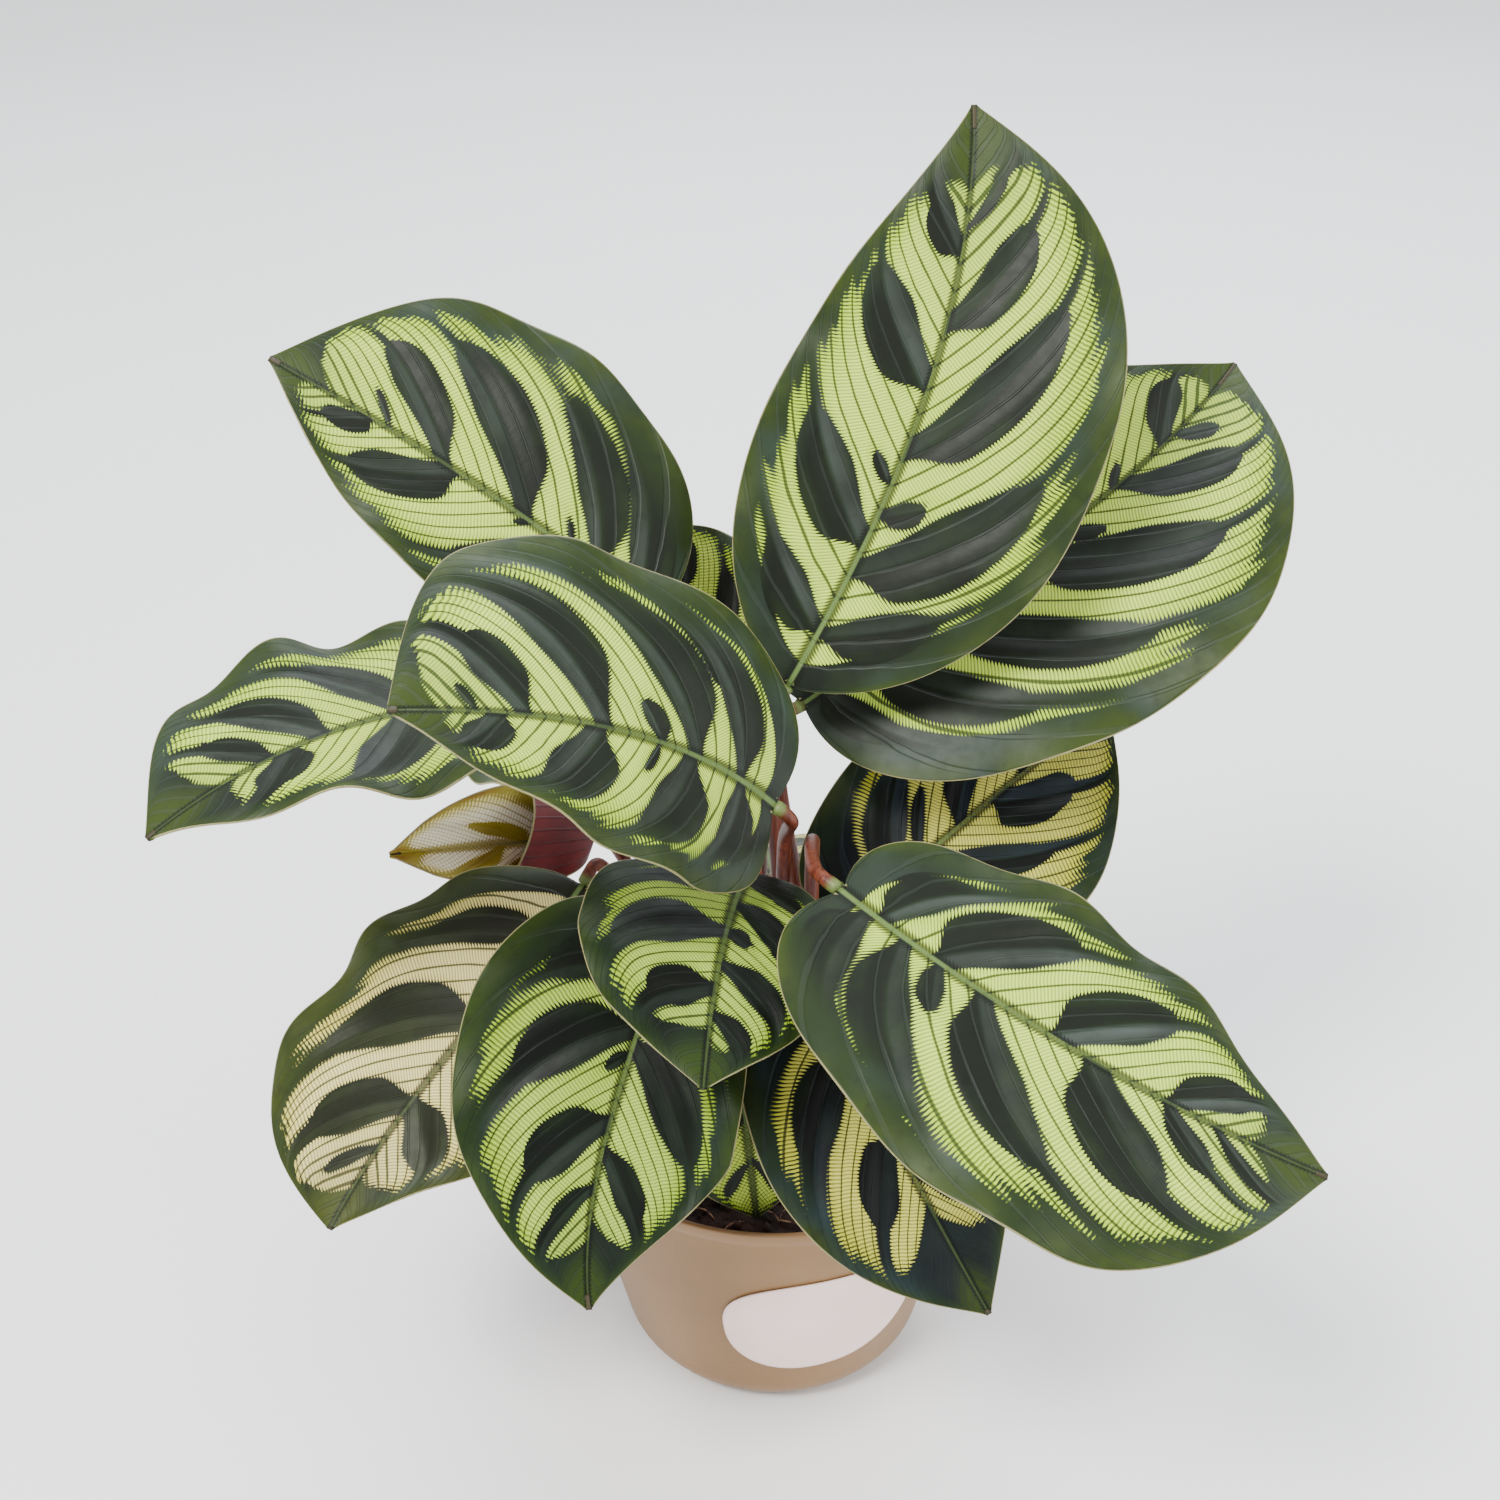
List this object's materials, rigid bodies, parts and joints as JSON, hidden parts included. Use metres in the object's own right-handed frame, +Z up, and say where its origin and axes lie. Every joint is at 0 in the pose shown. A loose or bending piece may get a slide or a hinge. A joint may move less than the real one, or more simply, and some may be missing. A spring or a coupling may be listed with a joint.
{
  "type": "potted calathea",
  "caption": "Peacock-plant calathea with broad patterned oval leaves on slim stalks, in a small tapered plastic pot filled with peat.",
  "frame": {"origin": "middle of the pot's flat base, where the pot stands", "axes": "+Z up through the pot, -Y towards the front, where the label is, and +X to the right"},
  "size_m": [0.2753, 0.2582, 0.3402],
  "materials": {
    "blade": "satin",
    "young_blade": "satin",
    "stalk": "satin",
    "pot": "satin",
    "label": "satin",
    "soil": "matte"
  },
  "bodies": {
    "root": {"pot": "pot", "label": "label", "soil": "soil", "tall_blade": "blade", "tall_stalk": "stalk", "right_back_blade": "blade", "right_back_stalk": "stalk", "left_back_blade": "blade", "left_back_stalk": "stalk", "left_blade": "blade", "left_stalk": "stalk", "front_blade": "blade", "front_stalk": "stalk", "young_blade": "young_blade", "young_stalk": "stalk", "low_left_blade": "blade", "low_left_stalk": "stalk", "low_middle_blade": "blade", "low_middle_stalk": "stalk", "small_blade": "blade", "small_stalk": "stalk", "low_right_blade": "blade", "low_right_stalk": "stalk", "under_right_blade": "blade", "under_right_stalk": "stalk", "right_blade": "blade", "right_stalk": "stalk", "back_centre_blade": "blade", "back_centre_stalk": "stalk", "rim_blade": "blade", "rim_stalk": "stalk", "back_left_blade": "blade", "back_left_stalk": "stalk", "back_low_blade": "blade", "back_low_stalk": "stalk", "back_right_blade": "blade", "back_right_stalk": "stalk"}
  },
  "joints": []
}
